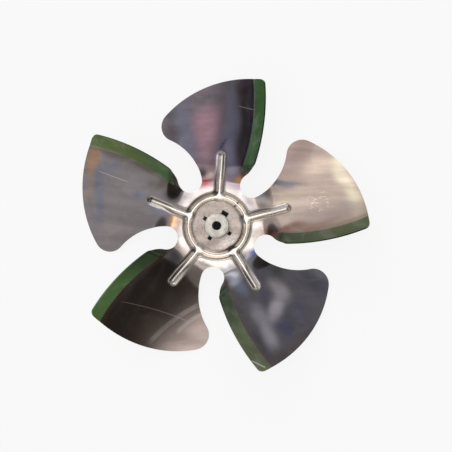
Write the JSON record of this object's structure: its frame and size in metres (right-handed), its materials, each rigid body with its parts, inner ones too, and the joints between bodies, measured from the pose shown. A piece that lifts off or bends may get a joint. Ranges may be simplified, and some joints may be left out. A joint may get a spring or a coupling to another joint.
{
  "type": "axial fan impeller",
  "caption": "Pressed aluminium axial fan impeller with cambered blades, stiffening ribs, a ring channel and a turned steel hub bush with a through bore.",
  "frame": {"origin": "on the shaft axis, half-way through the sheet at the flat hub", "axes": "+Z along the shaft axis, towards the concave blade faces and the front boss; +Y along the rib of one blade"},
  "size_m": [0.2218, 0.2198, 0.0433],
  "materials": {
    "sheet": "rolled aluminium sheet, bright with a fine grain, matt at the hub",
    "bush": "turned, zinc plated"
  },
  "bodies": {
    "root": {"blade_sheet": "sheet", "hub_bush": "bush"}
  },
  "joints": []
}
